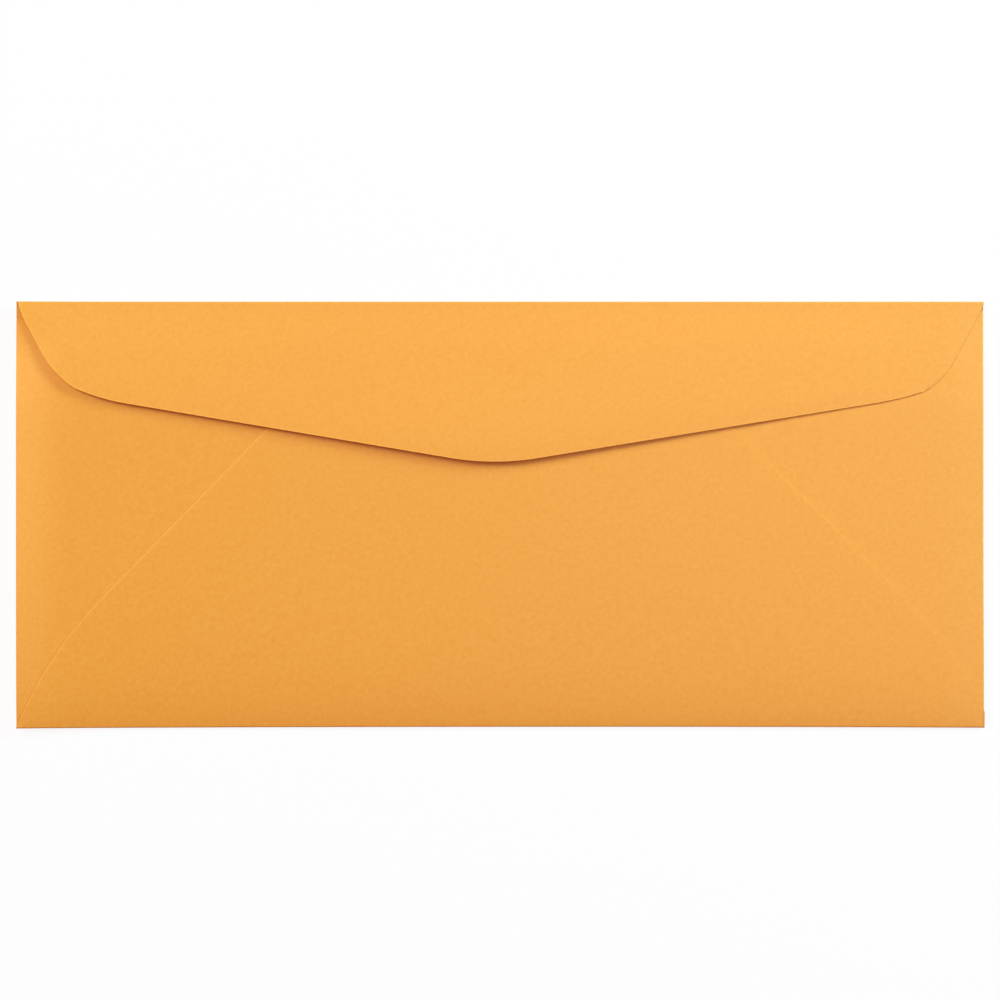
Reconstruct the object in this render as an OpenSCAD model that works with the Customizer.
// A commercial envelope with diagonal seams, lying on its address side with its back up.
// One sheet of paper: a face panel, two side flaps folded in over it, a bottom flap folded up
// and glued over those, and a seal flap folded down last and left unsealed.
// X runs along the width, Y from the bottom fold to the top fold, Z up out of the floor.

/* [Envelope] */
// Width from side fold to side fold
envelope_w = 241.3; // [200:0.1:280]
// Height from the bottom fold to the top fold
envelope_h = 106; // [98:0.1:125]

/* [Paper] */
// Thickness of the sheet
paper_t = 0.13; // [0.08:0.01:0.25]
// Air between the face panel and the side flaps that lie over it
pocket_gap = 0.3; // [0.1:0.05:1]

/* [Seal flap] */
// How much wider than the face panel the flap is cut at the top fold, each side
flap_side_over = 0.4; // [0:0.05:1]
// How far below the top fold the flap's sides turn the corner into its lower edge
flap_side_depth = 22.7; // [15:0.1:28]
// Angle between the flap's sides and the top fold
flap_side_angle = 62; // [50:0.5:80]
// Slope of the flap's lower edges, down from the sides to the middle
flap_edge_angle = 9.45; // [4:0.05:14]
// Radius of the two shoulders where side and lower edge meet
flap_shoulder_r = 22.9; // [8:0.1:30]
// Radius of the blunt point in the middle
flap_point_r = 69; // [20:1:120]
// Height of the point above the back panel, because the crease springs open
flap_lift = 1; // [0.4:0.1:6]
// Slack inside the top crease, over what the side flaps take up
flap_crease_slack = 0.1; // [0.05:0.05:0.6]

/* [Bottom flap] */
// How much wider than the face panel the flap is cut at the bottom fold, each side
seam_foot_over = 1.2; // [0.5:0.05:3]
// Angle between the foot of the seam and the bottom fold
seam_foot_angle = 63; // [52:0.5:72]
// Height above the bottom fold where the seam bends to its upper slope
seam_bend_h = 21.6; // [12:0.1:30]
// Slope of the seam above the bend
seam_angle = 45; // [40:0.5:50]
// Radius of the bend in the seam
seam_bend_r = 100; // [20:1:110]
// Depth of the throat: how far the flap's upper edge stays below the top fold
throat_depth = 16; // [10:0.5:24]
// Radius of the flap's two upper corners
throat_r = 18; // [5:0.5:24]
// How far the flap was folded out of line, towards the right
fold_shift = 0.3; // [0:0.05:2]
// How far it was folded out of square, its top end towards the left
fold_turn = 0.6; // [-0.8:0.1:0.8]
// Width of the cut shoulder that stands out past the right side fold
foot_overhang = 0.27; // [0.1:0.01:0.6]

/* [Side flaps] */
// Width of the glued overlap, across the seam
seam_overlap = 16; // [10:0.5:22]
// How far below the top fold a side flap starts on its side fold
shoulder_drop = 4.5; // [3:0.1:8]
// Height that the shoulder climbs before it turns into the upper edge
shoulder_rise = 2.5; // [1:0.1:2.8]
// Slope of a side flap's upper edge, down towards the middle
side_edge_angle = 10.5; // [6:0.25:14]
// Radius of a side flap's tip
side_tip_r = 12; // [4:0.5:16]
// How far above the bottom fold a side flap starts on its side fold
side_foot_gap = 1.2; // [0.5:0.1:4]
// Angle between the bottom fold and the foot of a side flap's lower edge
side_foot_angle = 7; // [2:0.5:15]
// Radius where that foot bends into the diagonal
side_foot_r = 14; // [4:0.5:24]

/* [Hidden] */
$fn = 96;
// What the trimming shapes run past the paper, so that no cut ends flush with it
past = 1;
// What a corner's arc stands proud of its two edges, so that it crosses them and isn't lost where
// they only touch
arc_proud = 0.002;

// Half sizes between the folds
half_w = envelope_w / 2;
half_h = envelope_h / 2;

// Heights of the layers, each the underside of its sheet
side_z = paper_t + pocket_gap;
back_z = side_z + paper_t;
back_top_z = back_z + paper_t;

// Inner radius of each crease, from the layers that it joins
side_crease_r = pocket_gap / 2;
bottom_crease_r = (back_z - paper_t) / 2;
top_crease_r = bottom_crease_r + flap_crease_slack / 2;

// Where the face panel ends and each crease begins
side_crease_x = half_w - side_crease_r - paper_t;
bottom_crease_y = -half_h + bottom_crease_r + paper_t;
top_crease_y = half_h - top_crease_r - paper_t;

// Corners of the seal flap before rounding, on its right half
flap_corner = [half_w + flap_side_over, half_h];
flap_shoulder = flap_corner - flap_side_depth * [1 / tan(flap_side_angle), 1];
flap_point = [0, flap_shoulder.y - flap_shoulder.x * tan(flap_edge_angle)];
// The point after rounding, and the tilt that lifts it clear of the back panel
flap_point_y = flap_point.y + flap_point_r * (1 / cos(flap_edge_angle) - 1);
flap_reach = top_crease_y - flap_point_y;
flap_tilt = asin((back_top_z + flap_lift - paper_t - 2 * top_crease_r) / flap_reach);

// Corners of the bottom flap before rounding, on its right half
throat_y = half_h - throat_depth;
seam_foot = [half_w + seam_foot_over, -half_h];
seam_bend = [seam_foot.x - seam_bend_h / tan(seam_foot_angle), -half_h + seam_bend_h];
seam_top = [seam_bend.x - (throat_y - seam_bend.y) / tan(seam_angle), throat_y];

// Corners of the right side flap before rounding. Its lower edge runs along the seam, an
// overlap further in, and its upper edge falls from the shoulder to the tip.
side_start = [side_crease_x, half_h - shoulder_drop];
side_shoulder = side_start + shoulder_rise * [-1, 1];
side_foot = [side_crease_x, -half_h + side_foot_gap];
seam_line = line_through(seam_bend + seam_overlap * [-sin(seam_angle), -cos(seam_angle)], 180 - seam_angle);
side_tip = crossing(line_through(side_shoulder, 180 + side_edge_angle), seam_line);
side_bend = crossing(line_through(side_foot, 180 - side_foot_angle), seam_line);

// A line is a point on it and its direction
function line_through(p, angle) = [p, [cos(angle), sin(angle)]];

// Where two lines cross
function crossing(a, b) =
    a[0] + a[1] * cross(b[0] - a[0], b[1]) / cross(a[1], b[1]);

function unit(v) = v / norm(v);

// The points of a right half with its mirror image added, in order round the outline
function both_halves(right) = concat(
    right,
    [for (i = [len(right) - 1 : -1 : 0]) if (right[i].x > 0) [-right[i].x, right[i].y]]
);

// What rounding a corner to radius r takes off it: a kite from the arc's centre out past the
// corner, square to both edges, less a true circle
module corner_waste(before, corner, after, r) {
    to_before = unit(before - corner);
    to_after = unit(after - corner);
    half_angle = acos(to_before * to_after) / 2;
    tangent = r / tan(half_angle);
    to_centre = unit(to_before + to_after) * r / sin(half_angle);
    translate(corner + to_centre)
        difference() {
            polygon(2 * [[0, 0], tangent * to_before - to_centre, -to_centre, tangent * to_after - to_centre]);
            circle(r + arc_proud);
        }
}

// An outline with some corners rounded. A radius of 0 leaves its corner as it was cut.
module rounded(points, radii) {
    last = len(points) - 1;
    difference() {
        polygon(points);
        for (i = [0 : last])
            if (radii[i] > 0)
                corner_waste(points[i == 0 ? last : i - 1], points[i], points[i == last ? 0 : i + 1], radii[i]);
    }
}

// Outline of the seal flap, seen from above, and no wider than the face panel
module seal_flap_outline() {
    right = [flap_corner + [0, past], flap_corner, flap_shoulder, flap_point];
    intersection() {
        rounded(
            both_halves(right),
            [0, 0, flap_shoulder_r, flap_point_r, flap_shoulder_r, 0, 0]
        );
        square(2 * [half_w, envelope_h], center = true);
    }
}

// Outline of the bottom flap, seen from above: folded askew, and trimmed at the side folds
module bottom_flap_outline() {
    right = [seam_foot - [0, 3 * past], seam_foot, seam_bend, seam_top];
    intersection() {
        translate([0, -half_h])
            rotate(fold_turn)
                translate([fold_shift, half_h])
                    rounded(
                        both_halves(right),
                        [0, 0, seam_bend_r, throat_r, throat_r, seam_bend_r, 0, 0]
                    );
        translate([-half_w, -envelope_h])
            square([envelope_w + foot_overhang, 2 * envelope_h]);
    }
}

// Outline of the right side flap, seen from above
module side_flap_outline() {
    rounded(
        [
            side_foot, [half_w + past, side_foot.y], [half_w + past, side_start.y],
            side_start, side_shoulder, side_tip, side_bend
        ],
        [0, 0, 0, 0, 0, side_tip_r, side_foot_r]
    );
}

// Section of a crease and the sheet that it turns back, with the crease's centre at the origin.
// The sheet arrives along -X at the bottom, turns round on +X and leaves at the top, tilted up.
module folded_section(crease_r, sheet_l, tilt) {
    outer_r = crease_r + paper_t;
    difference() {
        circle(outer_r);
        circle(crease_r);
        // The side of the crease that the two sheets run along
        rotate(90 - tilt)
            translate([-outer_r - past, 0])
                square([2 * (outer_r + past), outer_r + past]);
        translate([-outer_r - past, -outer_r - past])
            square([outer_r + past, 2 * (outer_r + past)]);
    }
    rotate(-tilt)
        translate([-sheet_l, crease_r])
            square([sheet_l, paper_t]);
}

// The sheet turned back over a crease that runs along X, towards +Y at y = 0
module fold_along_x(crease_r, sheet_l, tilt) {
    rotate([90, 0, 90])
        translate([0, paper_t + crease_r, -half_w - past])
            linear_extrude(envelope_w + 2 * past)
                folded_section(crease_r, sheet_l, tilt);
}

// A folded sheet, trimmed to the outline that comes after it
module trimmed() {
    intersection() {
        children(0);
        translate([0, 0, -past])
            linear_extrude(back_top_z + flap_lift + 3 * past)
                children(1);
    }
}

// The address side, from crease to crease. It reaches full width where no side flap starts.
module face_panel() {
    linear_extrude(paper_t) {
        translate([-side_crease_x, bottom_crease_y])
            square([2 * side_crease_x, top_crease_y - bottom_crease_y]);
        translate([-half_w, side_start.y])
            square([envelope_w, top_crease_y - side_start.y]);
        translate([-half_w, bottom_crease_y])
            square([envelope_w + foot_overhang, side_foot.y - bottom_crease_y]);
    }
}

// The top crease and the seal flap
module seal_flap() {
    trimmed() {
        translate([0, top_crease_y])
            fold_along_x(top_crease_r, flap_reach + past, flap_tilt);
        seal_flap_outline();
    }
}

// The bottom crease and the back panel
module bottom_flap() {
    trimmed() {
        translate([0, bottom_crease_y])
            mirror([0, 1, 0])
                fold_along_x(bottom_crease_r, throat_y - bottom_crease_y + past, 0);
        bottom_flap_outline();
    }
}

// The right side crease and its flap
module side_flap() {
    trimmed() {
        translate([side_crease_x, 0])
            rotate(-90)
                fold_along_x(side_crease_r, side_crease_x - side_tip.x, 0);
        side_flap_outline();
    }
}

module envelope() {
    color("#F5AB50") {
        face_panel();
        seal_flap();
        bottom_flap();
        side_flap();
        mirror([1, 0, 0])
            side_flap();
    }
}

envelope();
